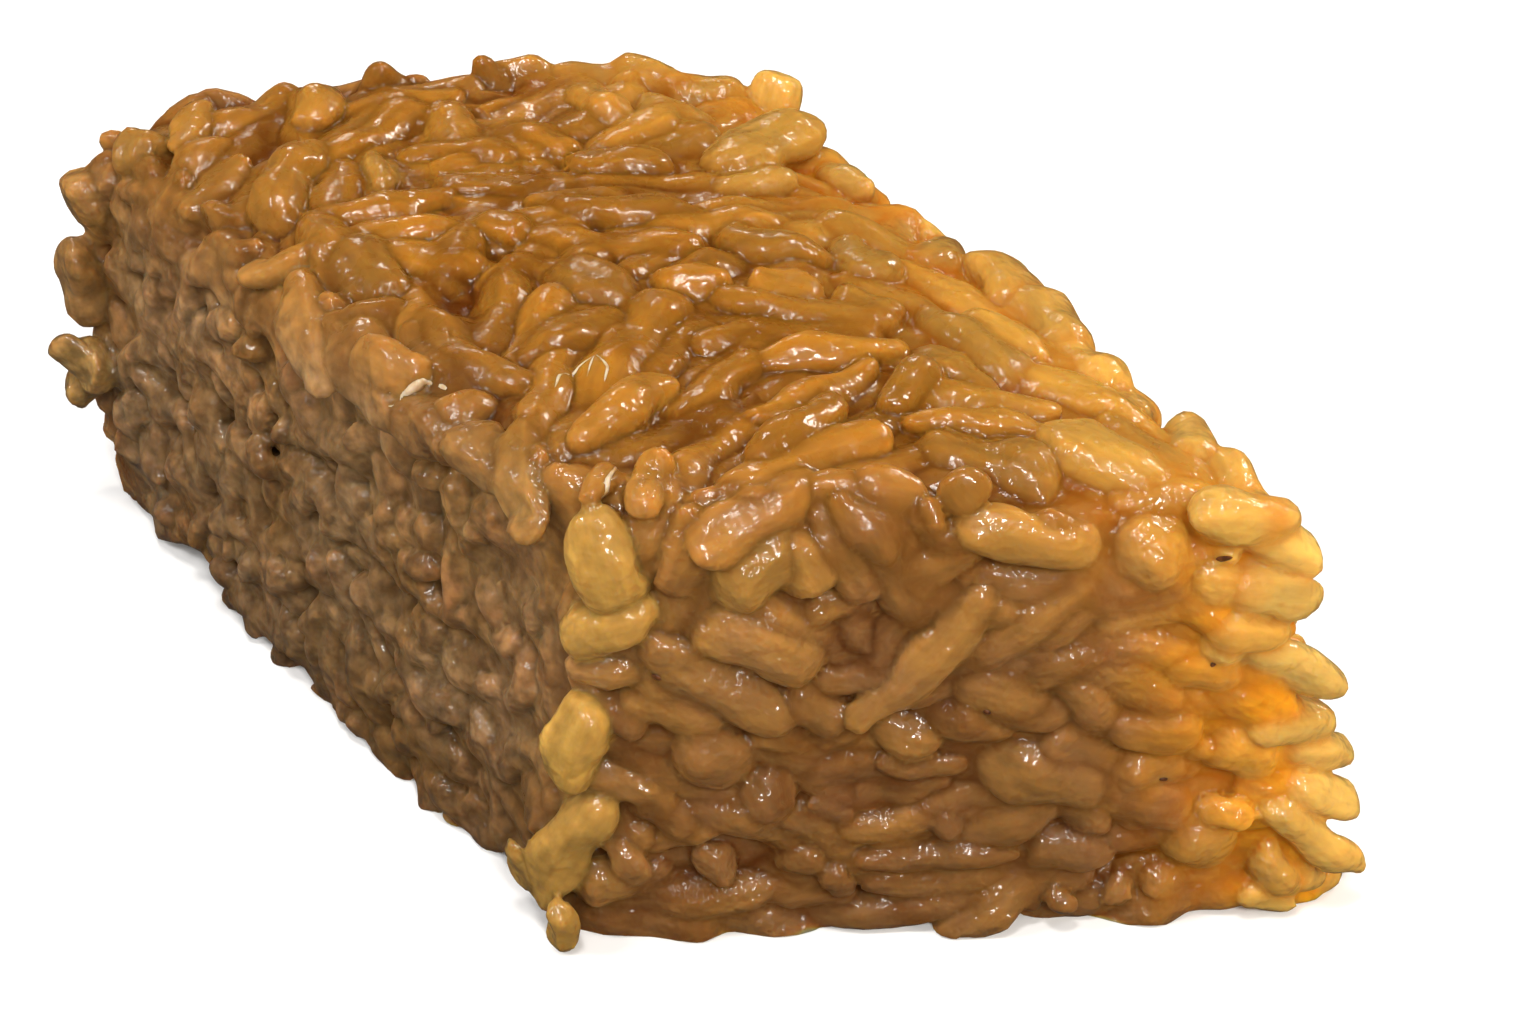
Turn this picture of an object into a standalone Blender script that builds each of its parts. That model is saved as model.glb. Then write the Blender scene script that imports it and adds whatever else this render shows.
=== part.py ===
"""One piece of wajik, the sweet of glutinous rice cooked with palm sugar and coconut milk.

The slab is pressed flat while warm and cut on the slant, so a piece is a low block with a diamond
foot. Whole grains show on every cut: flat in the glaze on the crown, in layers on the front cut,
end-on in the left cut, and standing out of the right cut like short fingers.

Metres, +Z up. The origin is the middle of the block's box at the foot. +X runs along the front cut
and +Y runs away from it.
"""

import math

import bmesh
import bpy
import numpy as np
from mathutils import Matrix, Vector

MM = 0.001

# Everything below is in millimetres and is counted from the near foot corner, which is moved to its
# place when the solids are made.
NEAR_CORNER = Vector((-5.0, -17.5, 0.0))

# The block.
FOOT = {"near": (-0.7, -1.0), "right": (33.2, -1.3), "far_right": (15.4, 34.8), "far_left": (-23.6, 34.2)}
CROWN = {"near": (0.2, 0.2), "right": (28.2, -0.6), "far_right": (11.4, 34.4), "far_left": (-21.4, 34.6)}
CROWN_HEIGHT = {"near": 21.0, "right": 20.0, "far_right": 20.8, "far_left": 20.0}
FOOT_DEPTH = 3.0  # how far the block runs below the foot before it is cut flat there
PAN_FLOOR = (120.0, 120.0, 20.0)
CROWN_RISE = 2.1  # how far the crown rises towards the middle of the far side
FAR_BOW = 2.6  # how far the far side bows out
EDGE_ROUNDING = 2.4
SHARP = 40.0  # a block edge that turns by more than this many degrees is rounded
CUTS = 3  # the block's faces are cut into four each way before they are domed and bowed

# What tells the block's sides apart: how far their outward normal leans up, right or left.
CROWN_LEAN = 0.6
RIGHT_LEAN = 0.55
LEFT_LEAN = -0.4

# The grains.
GRAIN_LENGTH = (8.2, 5.6)  # the longest and the shortest
GRAIN_WIDTH = 2.75
WIDTH_SPREAD = 0.12  # how much wider or narrower a grain may be, as a share
FLATNESS = 0.85  # a grain's thickness, as a share of its width
GRAIN_SIDES = 5
TIP = 0.72  # a grain's blunt end, as a share of its girth
BEND = 0.15  # how far its middle stands off its ends, as a share of half its thickness
GRAINS = 275
TRIES = 9000
SPACING = 2.35  # the least room between two grains, side by side
REACH = 2.1  # grains that lie end to end keep this many times that room
SKIN = 1.25  # how far the syrup between the grains lies below the block's faces
GLAZE = 0.55  # the same on the crown, where syrup fills the valleys
STAND_OUT = 0.5  # how far a grain's end may stand out of the block's faces
FINGERS = 1.9  # the same on the right cut
LOWEST = 0.4  # no grain's middle lies lower
SEED = 7

# How the spatula and the knife combed the grains: places on the crown (x, y) and on the front cut
# (x, z), and the way grains point there, in degrees from +X.
CROWN_COMB = (
    ((-9.5, 13.0), 102.0),
    ((-7.0, 19.5), 95.0),
    ((-12.0, 28.0), 70.0),
    ((-4.0, 26.5), 4.0),
    ((3.0, 24.0), 2.0),
    ((4.0, 33.0), 60.0),
    ((9.0, 14.0), 5.0),
    ((3.5, 13.5), 55.0),
    ((4.0, 7.5), 48.0),
    ((9.0, 3.5), 46.0),
    ((15.5, 14.0), -50.0),
    ((17.0, 6.5), -10.0),
    ((21.0, 3.5), -50.0),
    ((-3.0, 6.0), 85.0),
)
FRONT_COMB = (
    ((4.0, 19.0), 65.0),
    ((11.0, 19.0), -60.0),
    ((18.0, 18.5), -14.0),
    ((7.0, 13.0), -32.0),
    ((14.0, 13.5), 50.0),
    ((18.5, 15.0), 42.0),
    ((21.5, 11.5), -25.0),
    ((27.5, 12.0), -20.0),
    ((7.5, 6.5), -30.0),
    ((19.0, 7.0), -20.0),
    ((13.0, 4.0), 0.0),
    ((24.0, 3.0), 5.0),
    ((5.0, 2.0), 5.0),
)

# Grains that stand out of the block, one by one: the place of the middle and the way the grain
# points, then its length and width.
PROUD_GRAINS = (
    ((1.3, -0.4, 18.2), (0.25, -0.1, 1.0), 5.2, 2.8),
    ((1.6, -0.7, 15.0), (1.0, -0.2, 0.2), 4.0, 2.7),
    ((0.7, -0.5, 9.4), (0.2, -0.4, 1.0), 5.0, 2.6),
    ((0.4, -0.7, 4.6), (0.6, -0.2, 1.0), 5.6, 2.6),
    ((-0.5, -0.8, 1.5), (-0.1, -0.2, 1.0), 4.2, 2.3),
    ((-1.6, 2.0, 2.0), (-1.0, -0.6, 0.2), 3.4, 2.0),
    ((7.4, -0.2, 18.0), (0.5, 0.1, 1.0), 5.0, 3.4),
    ((7.2, -0.4, 14.2), (1.0, 0.0, -0.5), 6.6, 2.7),
    ((6.1, -0.6, 12.0), (1.0, 0.0, -0.65), 7.6, 2.6),
    ((14.2, -0.5, 13.3), (0.72, 0.0, 1.0), 7.6, 2.8),
    ((18.0, -0.4, 18.4), (1.0, 0.0, -0.28), 7.4, 2.8),
    ((19.2, -0.3, 6.7), (1.0, 0.0, -0.4), 6.8, 3.4),
    ((15.0, -0.4, 2.7), (1.0, 0.0, 0.0), 7.6, 2.6),
    ((10.6, 32.4, 19.6), (1.0, -0.5, 0.25), 5.6, 3.4),
    ((10.9, 34.6, 19.6), (0.2, 0.3, 1.0), 4.0, 2.4),
    ((-20.3, 31.6, 7.4), (-1.0, -0.2, 0.25), 5.0, 2.7),
    ((-19.7, 32.4, 15.4), (-0.7, -0.6, 0.4), 4.8, 2.6),
    ((30.2, -0.2, 3.0), (1.0, 0.3, -0.6), 5.6, 2.6),
    ((28.3, 0.0, 11.8), (1.0, 0.2, -0.3), 5.2, 2.6),
    ((27.6, 0.6, 16.6), (1.0, 0.2, 0.1), 5.0, 2.8),
)

RICE_COLOUR = (0.36, 0.16, 0.036, 1.0)


def clear_scene():
    for old in list(bpy.data.objects):
        bpy.data.objects.remove(old)


def share(value, whole):
    return min(1.0, max(0.0, value / whole))


def soften(co):
    """Domes the crown and bows the far side out, smoothly from nothing at the edges."""
    slant = (FOOT["near"][0] - FOOT["far_left"][0]) / (FOOT["far_left"][1] - FOOT["near"][1])
    across = math.sin(math.pi * share(co.x + slant * co.y, FOOT["right"][0]))
    away = share(co.y, FOOT["far_right"][1])
    height = share(co.z, CROWN_HEIGHT["near"])
    rise = CROWN_RISE * across * math.sin(0.5 * math.pi * away) * height**3
    bow = FAR_BOW * across * away**3 * (0.4 + 0.6 * height)
    return co + Vector((0.0, bow, rise))


def block_mesh():
    """The block as a bmesh: a cube whose corners are moved, then domed, bowed and rounded."""
    bm = bmesh.new()
    bmesh.ops.create_cube(bm, size=2.0)
    corner_at = {(-1, -1): "near", (1, -1): "right", (1, 1): "far_right", (-1, 1): "far_left"}
    for vert in bm.verts:
        corner = corner_at[(round(vert.co.x), round(vert.co.y))]
        if vert.co.z > 0.0:
            vert.co = Vector((*CROWN[corner], CROWN_HEIGHT[corner]))
        else:
            vert.co = Vector((*FOOT[corner], -FOOT_DEPTH))
    bmesh.ops.subdivide_edges(bm, edges=bm.edges, cuts=CUTS, use_grid_fill=True)
    for vert in bm.verts:
        vert.co = soften(vert.co)
    bm.normal_update()
    sharp = [edge for edge in bm.edges if edge.calc_face_angle(0.0) > math.radians(SHARP)]
    bmesh.ops.bevel(
        bm, geom=sharp, offset=EDGE_ROUNDING, segments=2, profile=0.5, affect="EDGES", material=-1
    )
    bmesh.ops.triangulate(bm, faces=bm.faces)
    bmesh.ops.recalc_face_normals(bm, faces=bm.faces)
    return bm


def surface_of(bm):
    """The block's faces but the foot's, for spreading grains: corners, normals and areas."""
    faces = [face for face in bm.faces if face.normal.z > -CROWN_LEAN]
    corners = np.array([[vert.co[:] for vert in face.verts] for face in faces])
    normals = np.array([face.normal[:] for face in faces])
    areas = np.array([face.calc_area() for face in faces])
    return corners, normals, areas


def combed(place, comb):
    """The way grains point at a place of a side, in radians, drawn from the nearest combed places."""
    pull = Vector((0.0, 0.0))
    for combed_place, angle in comb:
        weight = 1.0 / (math.dist(place, combed_place) + 1.0) ** 3
        twice = math.radians(2.0 * angle)
        pull += weight * Vector((math.cos(twice), math.sin(twice)))
    return 0.5 * math.atan2(pull.y, pull.x)


def lie_of(point, normal, draw):
    """The way a grain points at this place of the block, and how far it is sunk below the side."""
    up = Vector((0.0, 0.0, 1.0))
    if normal.z > CROWN_LEAN:
        angle = combed((point.x, point.y), CROWN_COMB) + math.radians(draw.normal(0.0, 10.0))
        way = Vector((math.cos(angle), math.sin(angle), draw.normal(0.0, 0.1)))
        return way.normalized(), draw.uniform(0.75, 1.15)
    sideways = up.cross(normal).normalized()
    if normal.x > RIGHT_LEAN:
        way = normal * draw.uniform(0.5, 1.3) + sideways * draw.normal(0.0, 0.6)
        way += up * draw.normal(0.0, 0.25)
        return way.normalized(), draw.uniform(1.0, 2.4)
    if normal.x < LEFT_LEAN:
        way = sideways * draw.normal(0.0, 1.0) + normal * draw.normal(0.0, 0.8)
        way += up * draw.normal(0.0, 0.7)
        return way.normalized(), draw.uniform(0.9, 1.7)
    angle = combed((point.x, point.z), FRONT_COMB) + math.radians(draw.normal(0.0, 12.0))
    way = sideways * math.cos(angle) + up * math.sin(angle) + normal * draw.normal(0.0, 0.14)
    return way.normalized(), draw.uniform(0.7, 1.3)


def spread_grains(bm):
    """Places the grains, largest first, each where the ones before it leave room."""
    draw = np.random.default_rng(SEED)
    corners, normals, areas = surface_of(bm)
    placed = [(Vector(place), Vector(way).normalized(), *size) for place, way, *size in PROUD_GRAINS]
    for pick in draw.choice(len(areas), size=TRIES, p=areas / areas.sum()):
        if len(placed) == GRAINS:
            break
        a, b = sorted(draw.uniform(size=2))
        point = Vector(np.array([a, b - a, 1.0 - b]) @ corners[pick])
        normal = Vector(normals[pick])
        way, sunk = lie_of(point, normal, draw)
        middle = point - normal * sunk
        length = np.interp(len(placed), (0, GRAINS), GRAIN_LENGTH)
        ends = [middle + way * 0.5 * length, middle - way * 0.5 * length]
        room = FINGERS if normal.x > RIGHT_LEAN else STAND_OUT
        if max(outside(end, corners, normals) for end in ends) > room:
            continue
        if middle.z < LOWEST or crowded(middle, way, placed):
            continue
        width = GRAIN_WIDTH * draw.uniform(1.0 - WIDTH_SPREAD, 1.0 + WIDTH_SPREAD)
        placed.append((middle, way, length, width))
    return placed


def outside(point, corners, normals):
    """How far a point stands out of the block, which bulges everywhere, so its faces tell."""
    return np.max(np.einsum("ij,ij->i", np.array(point) - corners[:, 0], normals))


def crowded(middle, way, placed):
    """Whether a grain here would lie in one that is there already."""
    for other, other_way, _, _ in placed:
        gap = middle - other
        if gap.length > SPACING * REACH:
            continue
        mean_way = way + other_way if way.dot(other_way) > 0 else way - other_way
        mean_way.normalize()
        along = gap.dot(mean_way)
        across = (gap - mean_way * along).length
        if math.hypot(along / REACH, across) < SPACING:
            return True
    return False


def grain_object(name, middle, way, length, width, collection):
    """One grain: a rod of few sides with blunt ends, a little bent, that points along its way."""
    mesh = bpy.data.meshes.new(name)
    bm = bmesh.new()
    bmesh.ops.create_cone(bm, cap_ends=True, segments=GRAIN_SIDES, radius1=TIP, radius2=TIP, depth=2.0)
    sides = [edge for edge in bm.edges if abs(edge.verts[0].co.z - edge.verts[1].co.z) > 1.0]
    waist = bmesh.ops.subdivide_edges(bm, edges=sides, cuts=1)["geom_inner"]
    for vert in waist:
        if isinstance(vert, bmesh.types.BMVert):
            vert.co = Vector((vert.co.x / TIP + BEND, vert.co.y / TIP, 0.0))
    size = Vector((width * FLATNESS, width, length)) * 0.5 * MM
    bmesh.ops.scale(bm, vec=size, verts=bm.verts)
    turn = way.to_track_quat("Z", "X").to_matrix().to_4x4()
    bm.to_mesh(mesh)
    bm.free()
    grain = bpy.data.objects.new(name, mesh)
    grain.matrix_world = Matrix.Translation((middle + NEAR_CORNER) * MM) @ turn
    collection.objects.link(grain)


def core_object(bm, collection):
    """The sticky mass inside, a skin's depth below the block's sides."""
    bm.normal_update()
    for vert in bm.verts:
        depth = GLAZE if vert.normal.z > CROWN_LEAN else SKIN
        vert.co = (vert.co - vert.normal * depth + NEAR_CORNER) * MM
    mesh = bpy.data.meshes.new("wajik")
    bm.to_mesh(mesh)
    core = bpy.data.objects.new("wajik", mesh)
    collection.objects.link(core)
    return core


def apply_boolean(target, operation, others):
    """Joins or cuts a solid with every solid of a collection, and keeps the result as its mesh.

    The grains cross each other by the hundred, where the exact solver is slow.
    """
    modifier = target.modifiers.new(operation.lower(), "BOOLEAN")
    modifier.operation = operation
    modifier.solver = "MANIFOLD"
    modifier.operand_type = "COLLECTION"
    modifier.collection = others
    bpy.context.view_layer.update()
    graph = bpy.context.evaluated_depsgraph_get()
    joined = bpy.data.meshes.new_from_object(target.evaluated_get(graph))
    target.modifiers.clear()
    target.data = joined


def keep_largest(mesh):
    """Drops what fusing seals off: hollows, which are thereby filled, and loose scraps."""
    bm = bmesh.new()
    bm.from_mesh(mesh)
    left = set(bm.faces)
    islands = []
    while left:
        island = [left.pop()]
        for face in island:
            neighbours = {other for edge in face.edges for other in edge.link_faces}
            island.extend(neighbours & left)
            left -= neighbours
        islands.append(island)
    islands.sort(key=len)
    scraps = [face for island in islands[:-1] for face in island]
    bmesh.ops.delete(bm, geom=scraps, context="FACES")
    bm.to_mesh(mesh)
    bm.free()


def floor_cutter(collection):
    """A slab below the foot, which cuts the block flat where it stood in the pan."""
    mesh = bpy.data.meshes.new("pan_floor")
    bm = bmesh.new()
    bmesh.ops.create_cube(bm, size=1.0)
    bmesh.ops.scale(bm, vec=Vector(PAN_FLOOR) * MM, verts=bm.verts)
    bmesh.ops.translate(bm, vec=Vector((0.0, 0.0, -0.5 * PAN_FLOOR[2] * MM)), verts=bm.verts)
    bm.to_mesh(mesh)
    bm.free()
    cutter = bpy.data.objects.new("pan_floor", mesh)
    cutter.hide_render = True
    cutter.display_type = "WIRE"
    collection.objects.link(cutter)


def rice_material():
    material = bpy.data.materials.new("sticky_rice")
    material.use_nodes = True
    shader = material.node_tree.nodes["Principled BSDF"]
    shader.inputs["Base Color"].default_value = RICE_COLOUR
    shader.inputs["Roughness"].default_value = 0.35
    shader.inputs["Metallic"].default_value = 0.0
    return material


def main():
    clear_scene()
    scene_collection = bpy.context.scene.collection
    parts = bpy.data.collections.new("wajik_parts")
    grains = bpy.data.collections.new("loose_grains")
    cutters = bpy.data.collections.new("cutters")
    for collection in (parts, grains, cutters):
        scene_collection.children.link(collection)
    bm = block_mesh()
    placed = spread_grains(bm)
    for number, (middle, way, length, width) in enumerate(placed):
        grain_object(f"grain_{number:03d}", middle, way, length, width, grains)
    wajik = core_object(bm, parts)
    bm.free()
    apply_boolean(wajik, "UNION", grains)
    floor_cutter(cutters)
    apply_boolean(wajik, "DIFFERENCE", cutters)
    for grain in list(grains.objects):
        bpy.data.objects.remove(grain)
    bpy.data.collections.remove(grains)
    keep_largest(wajik.data)
    wajik.data.materials.clear()
    wajik.data.materials.append(rice_material())


main()
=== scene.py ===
"""The looks of one cut piece of wajik: glutinous rice boiled with palm sugar and coconut milk."""

import math

import bmesh
import bpy
import numpy as np
from mathutils import Matrix, Vector


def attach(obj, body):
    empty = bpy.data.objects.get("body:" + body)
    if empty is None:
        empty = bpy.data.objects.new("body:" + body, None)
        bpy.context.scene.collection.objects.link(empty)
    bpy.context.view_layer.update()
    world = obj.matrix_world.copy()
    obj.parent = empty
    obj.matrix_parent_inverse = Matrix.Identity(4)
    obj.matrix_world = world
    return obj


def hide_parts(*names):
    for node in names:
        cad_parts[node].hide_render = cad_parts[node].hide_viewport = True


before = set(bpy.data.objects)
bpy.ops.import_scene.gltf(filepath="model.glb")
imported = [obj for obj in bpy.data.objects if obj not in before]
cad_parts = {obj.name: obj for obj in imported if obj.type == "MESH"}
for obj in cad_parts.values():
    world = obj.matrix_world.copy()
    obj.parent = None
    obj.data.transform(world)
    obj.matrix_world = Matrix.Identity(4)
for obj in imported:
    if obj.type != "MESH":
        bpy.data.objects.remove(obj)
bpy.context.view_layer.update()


# The sticky block: rice boiled with palm sugar and coconut milk, pressed flat in a pan while warm and
# cut on the slant. Whole grains lie flat in the crown's glaze, in layers on the front cut, mashed on
# the left cut and like short fingers on the right one.
MM = 0.001
NEAR_CORNER = np.array((-5.0, -17.5, 0.0))  # the block is made from here in mm, then moved to its place
FOOT = {
    "near": (-0.4, -0.8),
    "right": (32.9, -1.0),
    "far_right": (15.2, 34.8),
    "far_left": (-24.3, 34.2),
}
CROWN = {
    "near": (0.2, 0.2, 21.0),
    "right": (28.0, -0.6, 19.9),
    "far_right": (11.2, 35.2, 20.9),
    "far_left": (-22.0, 34.2, 19.6),
}
FOOT_DEPTH = 3.0  # how far the block's form goes on under the foot, where nothing of it is kept
CROWN_RISE = 2.0
FAR_BOW = 2.6
FAR_BOW_AT_FOOT = 0.4  # the part of the bow that the far side has at its foot
LEFT_HOLLOW = 0.4
EDGE_ROUNDING = 2.4
SHARP_EDGE = math.radians(40.0)
UNDERSIDE = -0.6  # faces whose normals go further down than this aren't part of a side
BED = 0.35  # how far the syrup between the grains stays above the surface that the block rests on

# Each side of the block: the way its faces look, how far the set syrup lies below it and how much that
# varies, how softly syrup joins its grains, how far out the pan or the knife pressed them flat, and the
# height of its small lumps. Then its grains: the depths of their two layers, their length and width,
# the room between them, how much more of it they need lengthwise, and how far tips may stand out.
# The front and the far side were cut alike.
STRAIGHT_CUT = dict(sunk=1.15, pools=0.3, fillet=0.07, pressed=1.4, lumps=0.05,
                    layers=((1.1, 1.6), (0.6, 1.0)), length=(6.4, 2.6), width=(1.5, 2.3), spacing=1.3,
                    reach=1.8, stand_out=0.35)
SIDES = {
    "crown": dict(look=(0.0, 0.0, 1.0), sunk=0.85, pools=0.3, fillet=0.10, pressed=1.4, lumps=0.03,
                  layers=((1.3, 1.7), (0.8, 1.2)), length=(7.8, 4.8), width=(1.9, 2.6), spacing=1.65,
                  reach=2.2, stand_out=0.2),
    "front": dict(STRAIGHT_CUT, look=(0.0, -1.0, 0.0)),
    "left": dict(look=(-0.84, -0.54, 0.0), sunk=1.35, pools=0.45, fillet=0.07, pressed=1.4, lumps=0.12,
                 layers=((1.0, 1.6), (0.5, 1.1)), length=(4.8, 1.8), width=(1.3, 2.1), spacing=1.2,
                 reach=1.5, stand_out=0.35),
    "right": dict(look=(0.9, 0.44, 0.0), sunk=1.4, pools=0.4, fillet=0.11, pressed=2.2, lumps=0.04,
                  layers=((2.2, 2.8), (0.9, 1.9)), length=(6.2, 4.0), width=(1.9, 2.5), spacing=1.6,
                  reach=1.6, stand_out=1.7),
    "far": dict(STRAIGHT_CUT, look=(0.0, 1.0, 0.0)),
}


def of_sides(trait):
    """One trait of every side, in the order of SIDES."""
    return np.array([side[trait] for side in SIDES.values()])


# How the spatula and the knife combed the grains: places on the crown (x, y) and on the front cut
# (x, z), and the way grains point there, in degrees from +X, give or take the scatter.
CROWN_SCATTER = 12.0
FRONT_SCATTER = 16.0
CROWN_COMB = (
    ((-9.5, 13.0), 102.0),
    ((-7.0, 19.5), 95.0),
    ((-12.0, 28.0), 70.0),
    ((-4.0, 26.5), 4.0),
    ((3.0, 24.0), 2.0),
    ((4.0, 33.0), 60.0),
    ((9.0, 14.0), 5.0),
    ((3.5, 13.5), 55.0),
    ((4.0, 7.5), 48.0),
    ((9.0, 3.5), 46.0),
    ((15.5, 14.0), -50.0),
    ((17.0, 6.5), -10.0),
    ((21.0, 3.5), -50.0),
    ((-3.0, 6.0), 85.0),
)
FRONT_COMB = (
    ((4.0, 19.0), 65.0),
    ((11.0, 19.0), -60.0),
    ((18.0, 18.5), -14.0),
    ((7.0, 13.0), -32.0),
    ((14.0, 13.5), 50.0),
    ((18.5, 15.0), 42.0),
    ((21.5, 11.5), -25.0),
    ((27.5, 12.0), -20.0),
    ((7.5, 6.5), -30.0),
    ((19.0, 7.0), -20.0),
    ((13.0, 4.0), 0.0),
    ((24.0, 3.0), 5.0),
    ((5.0, 2.0), 5.0),
)

# The grains that catch the eye, one by one. On the crown and on the front cut each goes from one place
# of that side to another, (x, y) or (x, z); then come its width, how far its top stands over the side
# and, unless it is like the rest, how sunny it is, up to 1 for the clearest yellow. That yellow is
# partly the grain's own and, at the near edge, partly painted light that comes through the thin edge.
CROWN_GRAINS = (
    ((-10.2, 19.2), (-9.4, 12.0), 2.3, 0.5),
    ((-8.9, 16.0), (-6.9, 9.2), 1.9, 0.3),
    ((-7.6, 20.6), (-6.0, 16.4), 2.6, 0.5, 0.1),
    ((-5.0, 15.2), (-0.8, 9.0), 1.9, 0.3),
    ((-5.7, 14.2), (-3.7, 10.2), 1.5, 0.4),
    ((-7.4, 15.3), (-7.7, 11.5), 2.1, 0.4),
    ((-6.6, 10.2), (-3.9, 6.8), 2.4, 0.3),
    ((-3.7, 7.4), (-2.6, 4.2), 2.1, 0.6, 0.1),
    ((-1.6, 6.4), (-1.6, 0.4), 2.2, 0.6, 0.2),
    ((-1.3, 10.9), (3.0, 13.9), 2.0, 0.3),
    ((2.4, 9.4), (5.1, 15.2), 2.2, 0.5),
    ((1.0, 4.6), (4.7, 8.6), 1.8, 0.6, 0.1),
    ((4.6, 6.4), (8.1, 10.4), 1.9, 0.3),
    ((2.8, 0.4), (3.9, 3.4), 1.5, 0.6, 0.1),
    ((1.0, 1.2), (2.0, 3.0), 1.1, 0.4),
    ((6.7, 14.7), (14.2, 12.5), 1.7, 0.35),
    ((5.7, 11.4), (13.6, 12.3), 2.0, 0.4),
    ((8.1, 9.9), (14.2, 10.9), 1.6, 0.25),
    ((7.2, 6.0), (12.9, 9.8), 1.6, 0.25),
    ((7.4, 2.9), (11.1, 6.7), 1.7, 0.75),
    ((5.8, 1.6), (12.5, 4.7), 2.0, 0.4),
    ((4.7, -0.6), (9.9, 1.9), 2.0, 0.4),
    ((12.9, 6.3), (14.9, 9.0), 1.5, 0.5),
    ((13.0, 7.4), (19.6, 6.4), 1.6, 0.25),
    ((13.4, 5.6), (18.9, 5.0), 1.5, 0.25),
    ((13.8, 4.2), (19.0, 1.9), 2.3, 0.35, 0.1),
    ((18.7, 5.2), (23.1, 1.6), 2.9, 0.6, 0.3),
    ((15.1, 13.8), (18.6, 8.5), 2.0, 0.35, 0.1),
    ((17.0, 13.7), (19.5, 9.8), 1.8, 0.35, 0.1),
    ((14.4, 10.8), (17.2, 7.3), 1.9, 0.25),
    ((11.5, 14.8), (14.2, 12.6), 1.7, 0.3),
    ((8.3, 16.2), (11.2, 15.1), 1.8, 0.3),
    ((0.3, 17.6), (3.5, 14.4), 2.4, 0.45, 0.1),
    ((4.4, 16.7), (7.5, 15.3), 2.1, 0.35),
    ((-2.0, 18.4), (1.4, 17.1), 1.7, 0.2),
    ((-6.9, 20.2), (-2.7, 17.7), 2.1, 0.35),
    ((-8.5, 20.9), (-3.0, 21.9), 1.7, 0.25),
    ((-2.9, 21.5), (-0.5, 20.0), 1.6, 0.45),
    ((-1.0, 20.3), (6.6, 18.7), 1.8, 0.25),
    ((0.4, 22.4), (7.2, 21.0), 1.9, 0.25),
    ((7.6, 19.8), (12.0, 17.4), 2.0, 0.3),
    ((12.2, 19.2), (14.4, 16.2), 2.0, 0.35, 0.1),
    ((-12.8, 20.5), (-9.2, 20.0), 1.7, 0.45, 0.1),
    ((-11.4, 22.8), (-9.6, 28.8), 2.5, 0.55, 0.1),
    ((-9.8, 22.9), (-3.8, 24.3), 2.0, 0.3),
    ((-4.8, 25.0), (0.6, 24.8), 1.9, 0.25),
    ((-15.6, 25.8), (-12.7, 28.6), 1.9, 0.5, 0.1),
    ((-7.0, 28.0), (-6.6, 24.9), 1.3, 0.3, 0.5),
    ((-3.8, 33.0), (-3.2, 27.6), 2.2, 0.3, 0.1),
    ((-9.4, 34.3), (-9.9, 30.8), 1.7, 0.5, 0.2),
    ((-15.1, 33.8), (-16.0, 30.0), 1.7, 0.5, 0.2),
    ((-18.8, 32.2), (-16.6, 30.8), 2.0, 0.4, 0.3),
    ((2.0, 33.0), (4.4, 29.0), 2.0, 0.25, 0.1),
    ((5.0, 32.8), (7.9, 29.8), 2.2, 0.35, 0.2),
    ((1.0, 26.3), (5.8, 26.1), 1.7, 0.2),
    ((-1.0, 29.6), (1.6, 27.0), 1.7, 0.25),
)
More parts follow.
